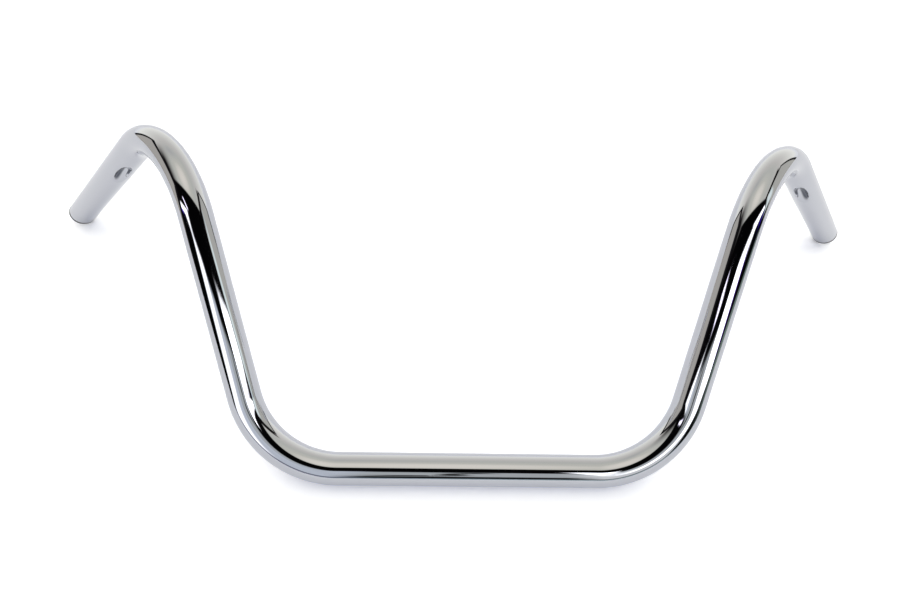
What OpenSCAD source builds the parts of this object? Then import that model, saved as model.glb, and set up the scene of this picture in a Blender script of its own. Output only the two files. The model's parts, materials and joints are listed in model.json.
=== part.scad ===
// Buckhorn handlebar for a motorcycle: one round steel tube, bent cold in four places and
// pressed in once under each grip. It lies as it comes to rest, on its middle and on the
// rims of its two cut ends. The origin is on the tube's axis, halfway between the clamps,
// with +X towards the right-hand grip, +Y towards the grips and +Z up.
//
// The shape is its bend schedule: from the middle outwards, go straight, bend, go straight,
// turn the tube about itself, bend, go straight.

/* [Tube] */
// Outside diameter of the tube
tube_od = 25.4; // [19:0.1:32]
// Thickness of the tube's wall
wall = 2.4; // [1.6:0.1:3.2]
// Chamfer on the outer and the inner edge of a cut end
end_chamfer = 0.6; // [0.2:0.1:0.7]

/* [Clamp stretch] */
// Straight length in the middle, which the two clamps hold
clamp_l = 203.2; // [150:0.1:260]

/* [Bends] */
// Thinning of the tube's wall in a bend, half of it outside and half of it in the bore
bend_thinning = 0.1; // [0.08:0.01:0.3]

/* [Lower bends] */
// Radius of a lower bend, to the middle of the tube
lower_r = 76.2; // [60:0.1:95]
// Angle of a lower bend
lower_a = 75; // [65:0.5:85]

/* [Uprights] */
// Straight length between a lower and an upper bend
upright_l = 144; // [100:1:200]
// Turn of the tube about itself from the lower bend's plane to the upper bend's
upright_turn = 134; // [125:0.5:145]

/* [Upper bends] */
// Radius of an upper bend, to the middle of the tube
upper_r = 76.2; // [60:0.1:95]
// Angle of an upper bend
upper_a = 95; // [85:0.5:105]

/* [Grips] */
// Straight length of tube that a grip and its switch go on
grip_l = 203.2; // [180:0.1:240]

/* [Indents] */
// Distance from a cut end to the middle of the indent
indent_from_end = 165; // [150:1:172]
// Length of the indent along the tube
indent_l = 40; // [30:1:50]
// Width of the indent across the tube
indent_w = 10; // [8:0.5:14]
// Depth of the indent at its middle
indent_depth = 6; // [4:0.1:7]
// Turn of the indent about the grip, from the inside of the upper bend
indent_turn = -16; // [-30:1:10]

/* [Hidden] */
$fn = 96;

tube_r = tube_od / 2;
bore_r = tube_r - wall;

// Search range for the angle at which the bar settles, and its halvings
settle_lo = 0;
settle_hi = 90;
settle_steps = 40;

// Overrun that keeps a cutting shape clear of the face it passes through
overrun = 1;

// Length that a bend reaches into the wall of the straight at each of its ends
bend_lap = 0.3;

// Press tool for an indent: a wheel with a round rim. The rim's own radius comes from the
// indent's width, and the wheel's radius from the indent's length.
indent_chord_x = sqrt(pow(tube_r, 2) - pow(indent_w / 2, 2));
indent_bite = indent_depth - (tube_r - indent_chord_x);
press_rim_r = sagitta_radius(indent_w, indent_bite);
press_wheel_r = sagitta_radius(indent_l, indent_depth);
press_axis_x = tube_r - indent_depth + press_wheel_r;

function sagitta_radius(chord, rise) = (pow(chord / 2, 2) + pow(rise, 2)) / (2 * rise);

// Rotations of a vector about the X, Y and Z axes
function about_x(v, a) = [v.x, v.y * cos(a) - v.z * sin(a), v.y * sin(a) + v.z * cos(a)];
function about_y(v, a) = [v.x * cos(a) + v.z * sin(a), v.y, v.z * cos(a) - v.x * sin(a)];
function about_z(v, a) = [v.x * cos(a) - v.y * sin(a), v.x * sin(a) + v.y * cos(a), v.z];

// The end of a bend that starts at the origin along +Z and bends towards +X
function bend_end(r, a) = r * [1 - cos(a), 0, sin(a)];

// A vector at the grip, carried back through the bends to the clamp stretch's frame
function past_upper(v) = about_z(about_y(v, upper_a), -upright_turn);
function past_lower(v) = about_y(v, lower_a);
function lying_flat(v) = [v.z, v.x, v.y];

// The middle of the right-hand cut end and the way it faces, with the uprights lying flat
upper_bend_end = about_z(bend_end(upper_r, upper_a), -upright_turn);
end_flat = [clamp_l / 2, 0, 0] + lying_flat(
    bend_end(lower_r, lower_a)
    + past_lower([0, 0, upright_l] + upper_bend_end + past_upper([0, 0, grip_l]))
);
end_way_flat = lying_flat(past_lower(past_upper([0, 0, 1])));

// Height of a cut end's lowest point over the floor when the bar is tipped back by an
// angle, with the clamp stretch on the floor
function end_height(tip) =
    about_x(end_flat, tip).z + tube_r
    - end_chamfer * abs(about_x(end_way_flat, tip).z)
    - (tube_r - end_chamfer) * sqrt(1 - pow(about_x(end_way_flat, tip).z, 2));

// The angle between the floor and the uprights at which the cut ends meet the floor
function settle(lo, hi, steps) =
    steps == 0 ? (lo + hi) / 2
    : end_height((lo + hi) / 2) < 0 ? settle((lo + hi) / 2, hi, steps - 1)
    : settle(lo, (lo + hi) / 2, steps - 1);
rest_tip = settle(settle_lo, settle_hi, settle_steps);

// A straight stretch of tube along +Z
module straight(l) {
    difference() {
        cylinder(h = l, r = tube_r);
        translate([0, 0, -overrun]) cylinder(h = l + 2 * overrun, r = bore_r);
    }
}

// A bend in the tube, from the origin along +Z and towards +X
module bend(r, a) {
    lap_a = bend_lap / r * 180 / PI;
    translate([r, 0, 0]) rotate([90, 0, 180]) rotate([0, 0, -lap_a])
        rotate_extrude(angle = a + 2 * lap_a) translate([r, 0]) difference() {
            circle(r = tube_r - bend_thinning / 2);
            circle(r = bore_r + bend_thinning / 2);
        }
}

// Places its children where a bend ends
module after_bend(r, a) {
    translate(bend_end(r, a)) rotate([0, a, 0]) children();
}

// The press tool at an indent, grown by a thickness
module press_tool(grow) {
    translate([0, 0, grip_l - indent_from_end]) rotate([0, 0, indent_turn])
        translate([press_axis_x, 0, 0]) rotate([90, 0, 0])
            rotate_extrude() translate([press_wheel_r - press_rim_r, 0]) circle(r = press_rim_r + grow);
}

// The stretch that takes the grip: a chamfered cut end, and the wall pressed in, at its
// full thickness, on the side that faces the inside of the upper bend
module grip_stretch() {
    difference() {
        rotate_extrude() polygon([
            [0, 0],
            [tube_r, 0],
            [tube_r, grip_l - end_chamfer],
            [tube_r - end_chamfer, grip_l],
            [0, grip_l],
        ]);
        press_tool(0);
        difference() {
            translate([0, 0, -overrun]) cylinder(h = grip_l + 2 * overrun, r = bore_r);
            press_tool(wall);
        }
        translate([0, 0, grip_l - end_chamfer])
            cylinder(h = 2 * end_chamfer, r1 = bore_r, r2 = bore_r + 2 * end_chamfer);
    }
}

// One half of the bar, from the end of the clamp stretch outwards
module half_bar() {
    bend(lower_r, lower_a);
    after_bend(lower_r, lower_a) {
        straight(upright_l);
        translate([0, 0, upright_l]) rotate([0, 0, -upright_turn]) {
            bend(upper_r, upper_a);
            after_bend(upper_r, upper_a) grip_stretch();
        }
    }
}

// Chromed steel tube: the whole handlebar
module handlebar_tube() {
    color("#C9CBD0") {
        translate([-clamp_l / 2, 0, 0]) rotate([90, 0, 90]) straight(clamp_l);
        for (side = [0, 1]) mirror([side, 0, 0])
            translate([clamp_l / 2, 0, 0]) rotate([rest_tip, 0, 0]) rotate([90, 0, 90]) half_bar();
    }
}

handlebar_tube();
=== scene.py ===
"""Buckhorn handlebar, chromed, lying on a pale studio floor.

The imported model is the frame. Its one node is the tube, and the tube is made again here as one
finely divided mesh, because polished chrome shows every facet of a coarse one. The studio is a
pale floor under a sky that holds the boards, the gaps and the lights that the chrome mirrors,
with a few cards close in front.
"""

from __future__ import annotations

import json
import logging
import math
from dataclasses import dataclass, field
from enum import Enum
from typing import Any

import bmesh
import bpy
from bmesh.types import BMEdge, BMesh, BMVert
from mathutils import Matrix, Vector

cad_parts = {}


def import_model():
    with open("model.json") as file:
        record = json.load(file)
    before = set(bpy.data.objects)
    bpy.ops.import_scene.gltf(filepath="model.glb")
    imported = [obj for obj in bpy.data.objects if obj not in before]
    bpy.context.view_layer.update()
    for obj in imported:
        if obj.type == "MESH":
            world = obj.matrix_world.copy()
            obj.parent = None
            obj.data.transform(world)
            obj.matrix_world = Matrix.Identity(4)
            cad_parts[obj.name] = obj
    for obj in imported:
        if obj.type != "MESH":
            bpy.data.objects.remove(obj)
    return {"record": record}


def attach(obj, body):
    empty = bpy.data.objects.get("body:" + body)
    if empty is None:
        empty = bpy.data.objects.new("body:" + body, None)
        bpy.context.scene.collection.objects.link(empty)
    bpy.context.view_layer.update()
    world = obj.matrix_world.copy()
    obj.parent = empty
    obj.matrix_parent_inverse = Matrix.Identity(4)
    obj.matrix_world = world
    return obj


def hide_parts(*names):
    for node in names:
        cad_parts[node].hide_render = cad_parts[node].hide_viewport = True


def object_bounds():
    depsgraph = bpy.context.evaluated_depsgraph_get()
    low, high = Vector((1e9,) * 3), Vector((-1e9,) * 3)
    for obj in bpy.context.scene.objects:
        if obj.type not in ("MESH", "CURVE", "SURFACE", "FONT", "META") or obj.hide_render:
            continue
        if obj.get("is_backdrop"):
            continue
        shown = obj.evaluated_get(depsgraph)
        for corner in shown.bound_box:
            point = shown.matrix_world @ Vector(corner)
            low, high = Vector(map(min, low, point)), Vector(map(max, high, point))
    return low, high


LOG = logging.getLogger("handlebar")

MM = 0.001
NODE = "handlebar_tube"


def linear(hex_colour: str) -> tuple[float, float, float, float]:
    """Turn an sRGB hex value into linear red, green, blue and alpha.

    Args:
        hex_colour: The colour as "#RRGGBB".

    Returns:
        The linear colour with an alpha of one.
    """
    channels = [int(hex_colour[start : start + 2], 16) / 255 for start in (1, 3, 5)]
    light = [c / 12.92 if c <= 0.04045 else ((c + 0.055) / 1.055) ** 2.4 for c in channels]
    return (*light, 1.0)


def add_node(
    tree: bpy.types.NodeTree,
    kind: str,
    settings: dict[str, Any] | None = None,
    inputs: dict[str | int, Any] | None = None,
) -> bpy.types.Node:
    """Add a node, with its settings, its values and its links.

    Args:
        tree: The node tree that it goes into.
        kind: The node's type name.
        settings: Attributes of the node itself.
        inputs: For an input's name or number, a value, or an output socket to link from.

    Returns:
        The new node.
    """
    node = tree.nodes.new(kind)
    for name, value in (settings or {}).items():
        setattr(node, name, value)
    for key, value in (inputs or {}).items():
        if isinstance(value, bpy.types.NodeSocket):
            tree.links.new(value, node.inputs[key])
        else:
            node.inputs[key].default_value = value
    return node


def window(
    tree: bpy.types.NodeTree,
    place: bpy.types.NodeSocket,
    half_size: tuple[float, float, float],
    softness: tuple[float, float, float],
) -> bpy.types.NodeSocket:
    """Mark the inside of a box with soft edges.

    Args:
        tree: The node tree that it goes into.
        place: Where a point lies, measured from the box's middle.
        half_size: Half of the box's size along each axis.
        softness: How far each edge fades to both of its sides.

    Returns:
        One inside the box and zero outside it.
    """
    half, soft = Vector(half_size), Vector(softness)
    away = add_node(tree, "ShaderNodeVectorMath", {"operation": "ABSOLUTE"}, {0: place})
    fade = add_node(
        tree,
        "ShaderNodeMapRange",
        {"data_type": "FLOAT_VECTOR", "interpolation_type": "SMOOTHSTEP"},
        {6: away.outputs[0], 7: half - soft, 8: half + soft, 9: (1, 1, 1), 10: (0, 0, 0)},
    )
    x, y, z = add_node(tree, "ShaderNodeSeparateXYZ", None, {0: fade.outputs["Vector"]}).outputs
    flat = add_node(tree, "ShaderNodeMath", {"operation": "MULTIPLY"}, {0: x, 1: y})
    whole = add_node(tree, "ShaderNodeMath", {"operation": "MULTIPLY"}, {0: flat.outputs[0], 1: z})
    return whole.outputs[0]


@dataclass(frozen=True)
class BendSchedule:
    """Sizes of the tube and of its right half's bends, in millimetres and degrees."""

    outside: float = 25.4
    wall: float = 2.4
    clamp_length: float = 203.2
    lower_radius: float = 76.2
    lower_angle: float = 75.0
    upright_length: float = 144.0
    upright_turn: float = 134.0
    upper_radius: float = 76.2
    upper_angle: float = 95.0
    grip_length: float = 203.2
    rim_radius: float = 0.6
    bare_length: float = 4.0

    @property
    def radius(self) -> float:
        """Outside radius of the tube."""
        return self.outside / 2


@dataclass(frozen=True)
class Indent:
    """The place where a round-rimmed wheel pressed the wall in, in millimetres and degrees."""

    from_end: float = 165.0
    length: float = 40.0
    width: float = 10.0
    depth: float = 6.0
    turn: float = -16.0
    lip: float = 0.8
    spread: float = 4.0
    # Where the painted shade in the indent fades out past its middle line, in halves of its width
    painted_shade_reach: float = 0.4

    def pressed(self, across: float, along: float, skin: float, radius: float) -> float:
        """Height of the skin over the tube's axis once the wheel has pressed it.

        Args:
            across: Distance from the indent's middle line, round the tube.
            along: Distance from the indent's middle, along the tube.
            skin: Height of the unpressed skin there.
            radius: Outside radius of the tube.

        Returns:
            The height of the pressed skin, with a soft lip where the wheel's edge was.
        """
        chord = math.sqrt(radius**2 - (self.width / 2) ** 2)
        rise = self.depth - (radius - chord)
        rim = ((self.width / 2) ** 2 + rise**2) / (2 * rise)
        wheel = ((self.length / 2) ** 2 + self.depth**2) / (2 * self.depth)
        if abs(across) >= rim:
            return skin
        reach = wheel - rim + math.sqrt(rim**2 - across**2)
        if abs(along) >= reach:
            return skin
        tool = radius - self.depth + wheel - math.sqrt(reach**2 - along**2)
        overlap = max(self.lip - abs(skin - tool), 0.0) / self.lip
        return min(skin, tool) - overlap**2 * self.lip / 4

    def painted_shade_share(self, across: float) -> float:
        """How much of the indent's painted shade a spot gets, from zero to one.

        Args:
            across: Distance from the indent's middle line, round the tube.

        Returns:
            One at the outer wall, and zero past the middle.
        """
        return min(max(self.painted_shade_reach - 2 * across / self.width, 0.0), 1.0)


class Pipe:
    """The outer skin of a tube, which grows ring by ring along its path.

    Its moving frame points its Z axis along the tube and its X axis to the inside of the next
    bend. Each vertex remembers where it was on the straight tube, before the bends, and how
    much painted shade the indent gives it, which grows with how deep it was pressed in.
    """

    SEGMENTS = 96

    def __init__(self, radius: float, start: Matrix) -> None:
        """Start the skin with one ring.

        Args:
            radius: Outside radius of the tube, in millimetres.
            start: The moving frame of the first ring.
        """
        self.mesh: BMesh = bmesh.new()
        self.straightened = self.mesh.verts.layers.float_vector.new("straightened")
        # Painted shade in the indent, from zero to one: darker chrome standing in for the shade in
        # the dent
        self.painted_dent_shade = self.mesh.verts.layers.float.new("painted_dent_shade")
        self.frame = start.copy()
        ring = bmesh.ops.create_circle(self.mesh, segments=self.SEGMENTS, radius=radius)
        for vert in ring["verts"]:
            vert[self.straightened] = vert.co * MM
        bmesh.ops.transform(self.mesh, matrix=start, verts=ring["verts"])
        self.ring: list[BMEdge] = list(self.mesh.edges)

    def _grow(self, move: Matrix, length: float) -> None:
        """Pull the last ring out to a new one.

        Args:
            move: The move of the ring, in the moving frame.
            length: How much tube the move adds, along its axis.
        """
        grown = bmesh.ops.extrude_edge_only(self.mesh, edges=self.ring)["geom"]
        verts = [item for item in grown if isinstance(item, BMVert)]
        placed = self.frame @ move @ self.frame.inverted()
        bmesh.ops.transform(self.mesh, matrix=placed, verts=verts)
        for vert in verts:
            vert[self.straightened] = vert[self.straightened] + Vector((0, 0, length * MM))
        fresh = set(verts)
        edges = [item for item in grown if isinstance(item, BMEdge)]
        self.ring = [edge for edge in edges if fresh.issuperset(edge.verts)]
        self.frame = placed @ self.frame

    def straight(self, length: float, spacing: float) -> None:
        """Add a straight stretch.

        Args:
            length: Length of the stretch.
            spacing: Rough distance between its rings.
        """
        steps = max(1, round(length / spacing))
        for _ in range(steps):
            self._grow(Matrix.Translation((0, 0, length / steps)), length / steps)

    def bend(self, radius: float, angle: float, spacing: float) -> None:
        """Add a bend.

        Args:
            radius: Radius of the bend, to the middle of the tube.
            angle: Angle of the bend, in degrees.
            spacing: Rough angle between its rings, in degrees.
        """
        steps = max(1, round(angle / spacing))
        out = Matrix.Translation((radius, 0, 0))
        turn = out @ Matrix.Rotation(math.radians(angle / steps), 4, "Y") @ out.inverted()
        for _ in range(steps):
            self._grow(turn, math.radians(angle / steps) * radius)

    def turn(self, angle: float) -> None:
        """Turn the moving frame about the tube, for a bend in another plane."""
        self.frame = self.frame @ Matrix.Rotation(math.radians(angle), 4, "Z")


class Finish(Enum):
    """Finishes of the tube, in the order of its material slots."""

    CHROME = 0
    BARE_STEEL = 1


@dataclass
class HandlebarTube:
    """The whole handlebar: one bent tube with two pressed indents."""

    schedule: BendSchedule = field(default_factory=BendSchedule)
    indent: Indent = field(default_factory=Indent)
    straight_spacing: float = 12.0
    bend_spacing: float = 1.5
    indent_spacing: float = 1.0
    sharp_angle: float = 60.0
    rim_segments: int = 4
    seam_gap: float = 1e-4

    def build(self, grip_axis: Vector) -> bpy.types.Object:
        """Make the tube's mesh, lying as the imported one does.

        Args:
            grip_axis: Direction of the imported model's right-hand grip.

        Returns:
            The tube's object, with its place in its mesh.
        """
        flat = self._walk(self._start(0.0), coarse=True).frame.to_3x3() @ Vector((0, 0, 1))
        tip = math.atan2(grip_axis.z, grip_axis.y) - math.atan2(flat.z, flat.y)
        pipe = self._walk(self._start(tip), coarse=False)
        mesh = pipe.mesh
        self._mirror(mesh, pipe.straightened)
        self._give_wall(mesh)
        self._round_rims(mesh, pipe.frame)
        bmesh.ops.scale(mesh, vec=(MM, MM, MM), verts=mesh.verts[:])
        return self._finish(mesh)

    def _start(self, tip: float) -> Matrix:
        """Find the moving frame in the middle of the clamp stretch.

        Args:
            tip: Angle between the floor and the uprights, in radians.

        Returns:
            The moving frame, with its X axis up the uprights.
        """
        inside = Vector((0, math.cos(tip), math.sin(tip)))
        along = Vector((1, 0, 0))
        return Matrix((inside, along.cross(inside), along)).transposed().to_4x4()

    def _walk(self, start: Matrix, coarse: bool) -> Pipe:
        """Grow the right half's skin along the bend schedule.

        Args:
            start: The moving frame in the middle of the clamp stretch.
            coarse: Whether few rings are enough, as when only the last frame is wanted.

        Returns:
            The grown skin.
        """
        s = self.schedule
        run = s.grip_length if coarse else self.straight_spacing
        arc = s.upper_angle if coarse else self.bend_spacing
        fine = s.grip_length if coarse else self.indent_spacing
        pipe = Pipe(s.radius, start)
        pipe.straight(s.clamp_length / 2, run)
        pipe.bend(s.lower_radius, s.lower_angle, arc)
        pipe.straight(s.upright_length, run)
        pipe.turn(-s.upright_turn)
        pipe.bend(s.upper_radius, s.upper_angle, arc)
        grip = pipe.frame.copy()
        middle = s.grip_length - self.indent.from_end
        reach = self.indent.length / 2 + self.indent.spread
        lead = s.bare_length
        pipe.straight(middle - reach, run)
        pipe.straight(2 * reach, fine)
        pipe.straight(s.grip_length - middle - reach - lead, run)
        pipe.straight(lead, lead)
        self._press(pipe, grip, middle)
        return pipe

    def _press(self, pipe: Pipe, grip: Matrix, middle: float) -> None:
        """Press the indent into the skin of the grip stretch, and give its outer wall its painted
        shade.

        Args:
            pipe: The skin.
            grip: The moving frame at the start of the grip stretch.
            middle: Distance from there to the indent's middle.
        """
        tool = grip @ Matrix.Rotation(math.radians(self.indent.turn), 4, "Z")
        back = tool.inverted()
        reach = self.indent.length / 2 + self.indent.spread
        for vert in pipe.mesh.verts:
            spot = back @ vert.co
            near = math.hypot(spot.x, spot.y) < self.schedule.outside
            if spot.x > 0 and abs(spot.z - middle) < reach and near:
                along = spot.z - middle
                pressed = self.indent.pressed(spot.y, along, spot.x, self.schedule.radius)
                # Painted shade, deepest on the indent's outer wall where it is pressed deepest
                painted_shade_share = self.indent.painted_shade_share(spot.y)
                vert[pipe.painted_dent_shade] = painted_shade_share * (spot.x - pressed) / self.indent.depth
                spot.x = pressed
                vert.co = tool @ spot

    def _mirror(self, mesh: BMesh, straightened: Any) -> None:
        """Add the left half and turn every face outwards.

        Args:
            mesh: The skin of the right half.
            straightened: The layer with each vertex's place on the straight tube.
        """
        whole = mesh.verts[:] + mesh.edges[:] + mesh.faces[:]
        bmesh.ops.mirror(mesh, geom=whole, merge_dist=self.seam_gap, axis="X")
        for vert in mesh.verts:
            if vert.co.x < 0:
                vert[straightened].z *= -1
        bmesh.ops.recalc_face_normals(mesh, faces=mesh.faces[:])
        top = max(mesh.faces, key=lambda face: face.calc_center_median().z)
        if top.normal.z < 0:
            bmesh.ops.reverse_faces(mesh, faces=mesh.faces[:])

    def _give_wall(self, mesh: BMesh) -> None:
        """Give the skin its wall, and the inside its own finish.

        Args:
            mesh: The whole skin.
        """
        skin = set(mesh.faces)
        bmesh.ops.solidify(mesh, geom=mesh.faces[:], thickness=self.schedule.wall)
        for face in mesh.faces:
            inside = face not in skin
            face.material_index = (Finish.BARE_STEEL if inside else Finish.CHROME).value

    def _round_rims(self, mesh: BMesh, cut: Matrix) -> None:
        """Round the outer and the inner edge of each cut end, and leave both of them bare.

        Args:
            mesh: The whole tube.
            cut: The moving frame at the right-hand cut end.
        """
        least = math.radians(self.sharp_angle)
        sharp = [
            edge
            for edge in mesh.edges
            if len(edge.link_faces) == 2 and edge.calc_face_angle(0.0) > least
        ]
        bmesh.ops.bevel(
            mesh,
            geom=sharp,
            offset=self.schedule.rim_radius,
            offset_type="OFFSET",
            affect="EDGES",
            segments=self.rim_segments,
            profile=0.5,
            material=-1,
        )
        back = cut.inverted()
        for face in mesh.faces:
            middle = face.calc_center_median()
            spot = back @ Vector((abs(middle.x), middle.y, middle.z))
            near = spot.xy.length < self.schedule.outside
            if near and spot.z > -self.schedule.bare_length:
                face.material_index = Finish.BARE_STEEL.value

    def _finish(self, mesh: BMesh) -> bpy.types.Object:
        """Turn the mesh into an object with smooth faces and its two finishes.

        Args:
            mesh: The whole tube, in metres.

        Returns:
            The tube's object.
        """
        for face in mesh.faces:
            face.smooth = True
        data = bpy.data.meshes.new("bent_tube")
        mesh.to_mesh(data)
        mesh.free()
        data.materials.append(PlatedChrome().build())
        data.materials.append(BareSteel().build())
        tube = bpy.data.objects.new("bent_tube", data)
        bpy.context.collection.objects.link(tube)
        return tube


@dataclass(frozen=True)
class PlatedChrome:
    """Decorative chrome over polished nickel and steel: a cool mirror with a faint ripple.

    In the indent it is darkened towards the outer wall: painted shade for the dark that the dent
    shows.
    """

    colour: str = "#C6C8CF"
    # Painted shade in the indent: its colour, and the shade shares where it starts and where it is
    # full
    painted_dent_shade_colour: str = "#5E616A"
    painted_dent_shade_ends: tuple[float, float] = (0.06, 0.36)
    roughness: float = 0.035
    ripple_mm: float = 9.0
    ripple_height_mm: float = 0.012
    ripple_detail: float = 1.5

    def build(self) -> bpy.types.Material:
        """Build the finish.

        Returns:
            The finish as a material.
        """
        material = bpy.data.materials.new("plated_chrome")
        material.use_nodes = True
        tree = material.node_tree
        shader = tree.nodes["Principled BSDF"]
        shader.inputs["Metallic"].default_value = 1.0
        shader.inputs["Roughness"].default_value = self.roughness
        # Painted shade: a darker colour mixed in where the indent's painted shade share is high
        painted_dent_shade = add_node(tree, "ShaderNodeAttribute", {"attribute_name": "painted_dent_shade"})
        start, end = self.painted_dent_shade_ends
        painted_shade_fade = add_node(
            tree,
            "ShaderNodeMapRange",
            {"interpolation_type": "SMOOTHSTEP"},
            {"Value": painted_dent_shade.outputs["Fac"], "From Min": start, "From Max": end},
        )
        chrome_with_painted_shade = add_node(
            tree,
            "ShaderNodeMix",
            {"data_type": "RGBA"},
            {
                "Factor": painted_shade_fade.outputs["Result"],
                6: linear(self.colour),
                7: linear(self.painted_dent_shade_colour),
            },
        )
        tree.links.new(chrome_with_painted_shade.outputs[2], shader.inputs["Base Color"])
        place = add_node(tree, "ShaderNodeAttribute", {"attribute_name": "straightened"})
        ripple = add_node(
            tree,
            "ShaderNodeTexNoise",
            None,
            {
                "Vector": place.outputs["Vector"],
                "Scale": 1 / (self.ripple_mm * MM),
                "Detail": self.ripple_detail,
            },
        )
        bump = add_node(
            tree,
            "ShaderNodeBump",
            None,
            {
                "Height": ripple.outputs["Fac"],
                "Distance": self.ripple_height_mm * MM,
                "Strength": 1.0,
            },
        )
        tree.links.new(bump.outputs["Normal"], shader.inputs["Normal"])
        return material


@dataclass(frozen=True)
class BareSteel:
    """Steel that the plating doesn't cover, inside the tube and at its cut ends: dull and dark."""

    colour: str = "#2E2D2C"
    roughness: float = 0.45
    roughness_change: float = 0.1
    draw_line_mm: float = 1.2
    draw_line_stretch: float = 50.0

    def build(self) -> bpy.types.Material:
        """Build the finish.

        Returns:
            The finish as a material.
        """
        material = bpy.data.materials.new("bare_steel")
        material.use_nodes = True
        tree = material.node_tree
        shader = tree.nodes["Principled BSDF"]
        shader.inputs["Base Color"].default_value = linear(self.colour)
        shader.inputs["Metallic"].default_value = 1.0
        place = add_node(tree, "ShaderNodeAttribute", {"attribute_name": "straightened"})
        lines = add_node(
            tree,
            "ShaderNodeMapping",
            None,
            {"Vector": place.outputs["Vector"], "Scale": (1.0, 1.0, 1 / self.draw_line_stretch)},
        )
        noise = add_node(
            tree,
            "ShaderNodeTexNoise",
            None,
            {"Vector": lines.outputs["Vector"], "Scale": 1 / (self.draw_line_mm * MM)},
        )
        rough = add_node(
            tree,
            "ShaderNodeMapRange",
            None,
            {
                "Value": noise.outputs["Fac"],
                "To Min": self.roughness - self.roughness_change,
                "To Max": self.roughness + self.roughness_change,
            },
        )
        tree.links.new(rough.outputs["Result"], shader.inputs["Roughness"])
        return material


class Wall(Enum):
    """The flat walls of a room round the bar, onto which the sky's panels are drawn.

    Each holds its three directions: across it, up it, and from the bar towards it.
    """

    CEILING = ((1, 0, 0), (0, 1, 0), (0, 0, 1))
    FRONT = ((1, 0, 0), (0, 0, 1), (0, -1, 0))
    LEFT = ((0, 1, 0), (0, 0, 1), (-1, 0, 0))
    RIGHT = ((0, 1, 0), (0, 0, 1), (1, 0, 0))


@dataclass(frozen=True)
class Panel:
    """A board, a gap or a light far away on one wall, in units of the wall's distance.

    Its middle is given across and up the wall: across is to the right, or to the back on a side
    wall, and up is to the back on the ceiling. Its turn is in degrees.
    """

    name: str
    wall: Wall
    middle: tuple[float, float]
    half_size: tuple[float, float]
    turn: float
    softness: tuple[float, float]
    colour: str
    strength: float = 1.0


@dataclass(frozen=True)
class Card:
    """A lit or a dark card close in front of the bar, in metres, seen only in the chrome."""

    name: str
    middle: tuple[float, float, float]
    half_size: tuple[float, float]
    softness: tuple[float, float]
    colour: str
    strength: float = 1.0


# Each panel covers the ones before it
PANELS = (
    Panel("back shade", Wall.CEILING, (-0.32, 0.62), (0.16, 0.14), 0, (0.3, 0.26), "#CBCAC7"),
    Panel("left gap", Wall.CEILING, (-1.6, -0.3), (0.75, 0.8), 0, (0.42, 0.4), "#0A0809"),
    Panel("left frame", Wall.LEFT, (0.15, 0.2), (0.51, 0.52), 0, (0.015, 0.02), "#201E20"),
    Panel("left board", Wall.LEFT, (0.15, 0.18), (0.4, 0.35), 0, (0.015, 0.02), "#CAC5BB"),
    Panel("right gap", Wall.CEILING, (1.2, -0.05), (0.19, 0.55), 0, (0.06, 0.1), "#0A0809"),
    Panel("right frame", Wall.RIGHT, (0.2, 0.3), (0.33, 0.5), 0, (0.015, 0.02), "#242224"),
    Panel("right board", Wall.RIGHT, (0.2, 0.3), (0.25, 0.42), 0, (0.015, 0.03), "#D0CEC4"),
    Panel(
        "right board edge", Wall.RIGHT, (-0.12, 0.45), (0.09, 0.22), 0, (0.04, 0.08), "#F4FFFA", 1.2
    ),
    Panel("left glow", Wall.FRONT, (-2.0, 0.86), (0.3, 0.06), 0, (0.15, 0.06), "#6A3CFF", 0.8),
    Panel("left sheet", Wall.FRONT, (-1.5, 1.04), (0.7, 0.13), 0, (0.15, 0.06), "#FFFFFF", 3.0),
    Panel("right glow", Wall.FRONT, (3.6, 1.15), (1.2, 0.14), 14, (0.3, 0.1), "#5A34FF", 0.4),
    Panel("right sheet", Wall.FRONT, (2.3, 1.5), (1.5, 0.24), 16.5, (0.2, 0.08), "#FFFFFF", 3.0),
    Panel("high strip", Wall.FRONT, (-0.95, 1.48), (0.4, 0.06), -35, (0.1, 0.04), "#F4ECFF", 3.0),
    Panel("low right", Wall.FRONT, (0.3, 0.04), (0.5, 0.05), 0, (0.2, 0.04), "#C6DCE0", 0.8),
    Panel("low far right", Wall.FRONT, (3.2, 0.15), (1.8, 0.22), 0, (0.6, 0.12), "#B4C8BC", 0.6),
    Panel("low left", Wall.FRONT, (-0.6, 0.02), (0.5, 0.05), 0, (0.3, 0.04), "#8C90C0", 0.6),
)

CARDS = (
    Card("left lamp", (-0.76, -0.76, 0.53), (0.25, 0.42), (0.09, 0.05), "#FFFFFF", 2.2),
    Card("left card", (-0.4, -0.77, 0.51), (0.19, 0.4), (0.06, 0.06), "#E0E6EE"),
    Card("middle card", (0.02, -0.78, 0.57), (0.4, 0.29), (0.06, 0.06), "#C8CCCB"),
    Card("right card", (0.47, -0.77, 0.38), (0.17, 0.25), (0.05, 0.05), "#F6F6F4"),
    Card("right lamp", (0.71, -0.76, 0.76), (0.33, 0.36), (0.04, 0.05), "#FFFFFF", 4.0),
    Card("right fringe", (1.12, -0.77, 0.72), (0.07, 0.27), (0.06, 0.1), "#A060FF", 0.6),
    Card("stand foot", (-0.07, -0.755, 0.35), (0.08, 0.05), (0.06, 0.04), "#0A0A0B"),
    Card("stand", (0.02, -0.755, 0.5), (0.03, 0.12), (0.025, 0.06), "#0A0A0B"),
    Card("stand head", (0.07, -0.755, 0.72), (0.05, 0.07), (0.04, 0.05), "#0A0A0B"),
)

# The dome's colours, from the horizon at zero to overhead at one
DOME = (
    (0.0, "#E8EAEC"),
    (0.12, "#F6F5EB"),
    (0.34, "#E7E5DB"),
    (0.64, "#D0CCC3"),
    (0.82, "#C4C4BA"),
    (0.94, "#CFCDC0"),
    (1.0, "#EEE7D9"),
)


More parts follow.
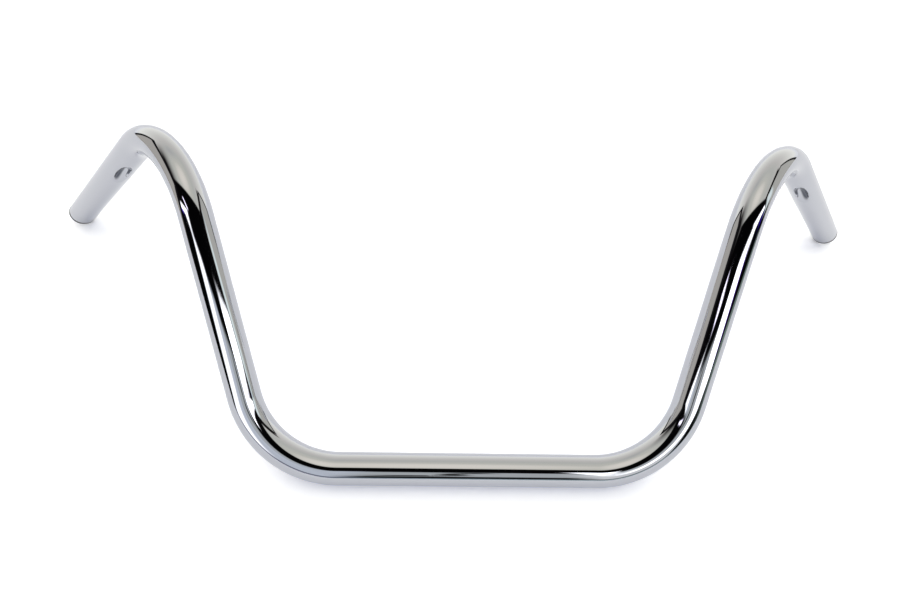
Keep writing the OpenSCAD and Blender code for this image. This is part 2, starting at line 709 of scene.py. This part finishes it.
@dataclass
class Studio:
    """The pale floor, the cards, the sky with its panels, and the camera.

    The sky lights the floor more strongly than the chrome shows it, so that the floor comes out
    white with faint shadows, and less so for the floor that the chrome mirrors.
    """

    floor_colour: str = "#EDEFF6"
    floor_roughness: float = 0.9
    floor_gloss: float = 0.1
    floor_half_size: float = 8.0
    floor_light: float = 2.3
    mirrored_floor_light: float = 1.5
    floor_glow_colour: str = "#F1F3FC"
    floor_glow: float = 0.3
    dome_strength: float = 1.3
    dark_colour: str = "#050506"
    front_slope: float = 0.29
    front_softness: float = 0.03
    least_depth: float = 0.06
    wall_edge: float = 0.33
    camera_place_mm: tuple[float, float, float] = (-29.87, -186.55, 444.3)
    camera_yaw: float = 3.31
    camera_pitch: float = 48.17
    camera_roll: float = 3.84
    focal_px: float = 575.99
    shift_px: tuple[float, float] = (-7.35, -28.41)
    image_width_px: float = 900.0
    sensor_mm: float = 36.0
    nearest: float = 0.01
    farthest: float = 100.0

    def build(self, ground: float) -> None:
        """Build the whole studio.

        Args:
            ground: Height of the floor, in metres.
        """
        self._floor(ground)
        self._sky()
        for card in CARDS:
            self._card(card)
        self._camera()
        view = bpy.context.scene.view_settings
        view.view_transform = "Standard"
        view.look = "None"

    def _floor(self, ground: float) -> None:
        """Lay a plain pale sheet that glows a little.

        Args:
            ground: Height of the floor, in metres.
        """
        mesh = bmesh.new()
        place = Matrix.Translation((0, 0, ground))
        bmesh.ops.create_grid(
            mesh, x_segments=1, y_segments=1, size=self.floor_half_size, matrix=place
        )
        data = bpy.data.meshes.new("floor")
        mesh.to_mesh(data)
        mesh.free()
        material = bpy.data.materials.new("pale_floor")
        material.use_nodes = True
        shader = material.node_tree.nodes["Principled BSDF"]
        shader.inputs["Base Color"].default_value = linear(self.floor_colour)
        shader.inputs["Roughness"].default_value = self.floor_roughness
        shader.inputs["Specular IOR Level"].default_value = self.floor_gloss
        shader.inputs["Emission Color"].default_value = linear(self.floor_glow_colour)
        shader.inputs["Emission Strength"].default_value = self.floor_glow
        data.materials.append(material)
        floor = bpy.data.objects.new("floor", data)
        bpy.context.collection.objects.link(floor)
        floor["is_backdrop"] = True

    def _card(self, card: Card) -> None:
        """Put up one card, which only the chrome sees.

        Args:
            card: The card.
        """
        mesh = bmesh.new()
        size = [half + soft for half, soft in zip(card.half_size, card.softness)]
        upright = Matrix.Rotation(math.radians(90), 4, "X") @ Matrix.Diagonal((*size, 1, 1))
        bmesh.ops.create_grid(mesh, x_segments=1, y_segments=1, size=1.0, matrix=upright)
        data = bpy.data.meshes.new(card.name)
        mesh.to_mesh(data)
        mesh.free()
        data.materials.append(self._card_light(card))
        sheet = bpy.data.objects.new(card.name, data)
        sheet.location = card.middle
        sheet.visible_camera = False
        sheet.visible_diffuse = False
        sheet.visible_shadow = False
        bpy.context.collection.objects.link(sheet)
        sheet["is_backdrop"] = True

    def _card_light(self, card: Card) -> bpy.types.Material:
        """Make a card's light, which fades to nothing at its edges.

        Args:
            card: The card.

        Returns:
            The light as a material.
        """
        material = bpy.data.materials.new(card.name)
        material.use_nodes = True
        tree = material.node_tree
        tree.nodes.clear()
        place = add_node(tree, "ShaderNodeTexCoord").outputs["Object"]
        across, up = card.half_size
        soft_across, soft_up = card.softness
        # A card is flat, so its box may be of any depth
        mask = window(tree, place, (across, 1.0, up), (soft_across, 0.5, soft_up))
        light = {"Color": linear(card.colour), "Strength": card.strength}
        glow = add_node(tree, "ShaderNodeEmission", None, light)
        clear = add_node(tree, "ShaderNodeBsdfTransparent")
        both = {0: mask, 1: clear.outputs[0], 2: glow.outputs[0]}
        shader = add_node(tree, "ShaderNodeMixShader", None, both)
        add_node(tree, "ShaderNodeOutputMaterial", None, {"Surface": shader.outputs[0]})
        return material

    def _sky(self) -> None:
        """Hang the sky: the dome with its panels, and how brightly it lights the floor."""
        world = bpy.data.worlds.new("studio")
        bpy.context.scene.world = world
        world.use_nodes = True
        tree = world.node_tree
        tree.nodes.clear()
        look = add_node(tree, "ShaderNodeTexCoord").outputs["Generated"]
        colour = self._dome(tree, look)
        walls = {wall: self._on_wall(tree, look, wall) for wall in Wall}
        for panel in PANELS:
            placed = add_node(
                tree,
                "ShaderNodeMapping",
                {"vector_type": "TEXTURE"},
                {
                    "Vector": walls[panel.wall],
                    "Location": (*panel.middle, 1.0),
                    "Rotation": (0.0, 0.0, math.radians(panel.turn)),
                },
            )
            edge = self.wall_edge
            half_size, softness = (*panel.half_size, edge), (*panel.softness, edge)
            mask = window(tree, placed.outputs[0], half_size, softness)
            light = (*(channel * panel.strength for channel in linear(panel.colour)[:3]), 1.0)
            covered = {"Factor": mask, 6: colour, 7: light}
            colour = add_node(tree, "ShaderNodeMix", {"data_type": "RGBA"}, covered).outputs[2]
        ray = add_node(tree, "ShaderNodeLightPath").outputs
        seen = {"Factor": ray["Is Camera Ray"], 6: colour, 7: (1.0, 1.0, 1.0, 1.0)}
        colour = add_node(tree, "ShaderNodeMix", {"data_type": "RGBA"}, seen).outputs[2]
        # A ray that leaves the floor is a diffuse one, and it has a glossy depth as well where
        # the chrome mirrors that spot of the floor
        in_chrome = {"Factor": ray["Is Diffuse Ray"], 2: 1.0, 3: self.mirrored_floor_light}
        mirrored = add_node(tree, "ShaderNodeMix", None, in_chrome).outputs[0]
        directly = {"Factor": ray["Glossy Depth"], 2: self.floor_light, 3: mirrored}
        strength = add_node(tree, "ShaderNodeMix", None, directly).outputs[0]
        glow = add_node(tree, "ShaderNodeBackground", None, {"Color": colour, "Strength": strength})
        add_node(tree, "ShaderNodeOutputWorld", None, {"Surface": glow.outputs[0]})

    def _dome(self, tree: bpy.types.NodeTree, look: bpy.types.NodeSocket) -> bpy.types.NodeSocket:
        """Draw the dome: pale behind and above, and dark in front.

        Args:
            tree: The sky's node tree.
            look: The direction that is looked in.

        Returns:
            The dome's colour.
        """
        dot = {"operation": "DOT_PRODUCT"}
        height = add_node(tree, "ShaderNodeVectorMath", dot, {0: look, 1: (0, 0, 1)})
        ramp = add_node(tree, "ShaderNodeValToRGB", None, {"Fac": height.outputs["Value"]})
        stops = ramp.color_ramp.elements
        for number, (position, shade) in enumerate(DOME):
            stop = stops[number] if number < len(stops) else stops.new(position)
            stop.position = position
            stop.color = linear(shade)
        brighter = {0: ramp.outputs["Color"], "Scale": self.dome_strength}
        pale = add_node(tree, "ShaderNodeVectorMath", {"operation": "SCALE"}, brighter)
        slope = {0: look, 1: (0, 1, self.front_slope)}
        behind = add_node(tree, "ShaderNodeVectorMath", dot, slope)
        front = add_node(
            tree,
            "ShaderNodeMapRange",
            {"interpolation_type": "SMOOTHSTEP"},
            {
                "Value": behind.outputs["Value"],
                "From Min": -self.front_softness,
                "From Max": self.front_softness,
                "To Min": 1.0,
                "To Max": 0.0,
            },
        )
        both = {"Factor": front.outputs["Result"], 6: pale.outputs[0], 7: linear(self.dark_colour)}
        return add_node(tree, "ShaderNodeMix", {"data_type": "RGBA"}, both).outputs[2]

    def _on_wall(
        self, tree: bpy.types.NodeTree, look: bpy.types.NodeSocket, wall: Wall
    ) -> bpy.types.NodeSocket:
        """Find the spot that a direction meets on a wall.

        Args:
            tree: The sky's node tree.
            look: The direction that is looked in.
            wall: The wall.

        Returns:
            How far across and up the wall the spot lies, and a third number, which is one in
            front of the wall and falls from there.
        """
        dot = {"operation": "DOT_PRODUCT"}
        across, up, away = (
            add_node(tree, "ShaderNodeVectorMath", dot, {0: look, 1: way}).outputs["Value"]
            for way in wall.value
        )
        ahead = {0: away, 1: self.least_depth}
        depth = add_node(tree, "ShaderNodeMath", {"operation": "MAXIMUM"}, ahead)
        spot = add_node(tree, "ShaderNodeCombineXYZ", None, {0: across, 1: up, 2: away})
        share = {0: spot.outputs[0], 1: depth.outputs[0]}
        return add_node(tree, "ShaderNodeVectorMath", {"operation": "DIVIDE"}, share).outputs[0]

    def _camera(self) -> None:
        """Set up the camera where the photo was taken from."""
        data = bpy.data.cameras.new("camera")
        data.sensor_fit = "HORIZONTAL"
        data.sensor_width = self.sensor_mm
        data.lens = self.focal_px / self.image_width_px * self.sensor_mm
        data.shift_x, data.shift_y = (shift / self.image_width_px for shift in self.shift_px)
        data.clip_start = self.nearest
        data.clip_end = self.farthest
        camera = bpy.data.objects.new("camera", data)
        bpy.context.collection.objects.link(camera)
        camera.matrix_world = (
            Matrix.Translation(Vector(self.camera_place_mm) * MM)
            @ Matrix.Rotation(math.radians(-self.camera_yaw), 4, "Z")
            @ Matrix.Rotation(math.radians(90 - self.camera_pitch), 4, "X")
            @ Matrix.Rotation(math.radians(self.camera_roll), 4, "Z")
        )
        bpy.context.scene.camera = camera


def main() -> None:
    """Load the frame, build the tube and the studio, and report the pieces."""
    logging.basicConfig(level=logging.INFO, format="%(name)s: %(message)s")
    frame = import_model()
    cad_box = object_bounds()
    grip = next(m for m in frame["record"]["mounts"] if m["name"] == "right_grip")
    tube = HandlebarTube().build(Vector(grip["axis"]))
    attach(tube, "root")
    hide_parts(NODE)
    LOG.info("%s: %d faces", tube.name, len(tube.data.polygons))
    Studio().build(cad_box[0].z)


if __name__ == "__main__":
    main()
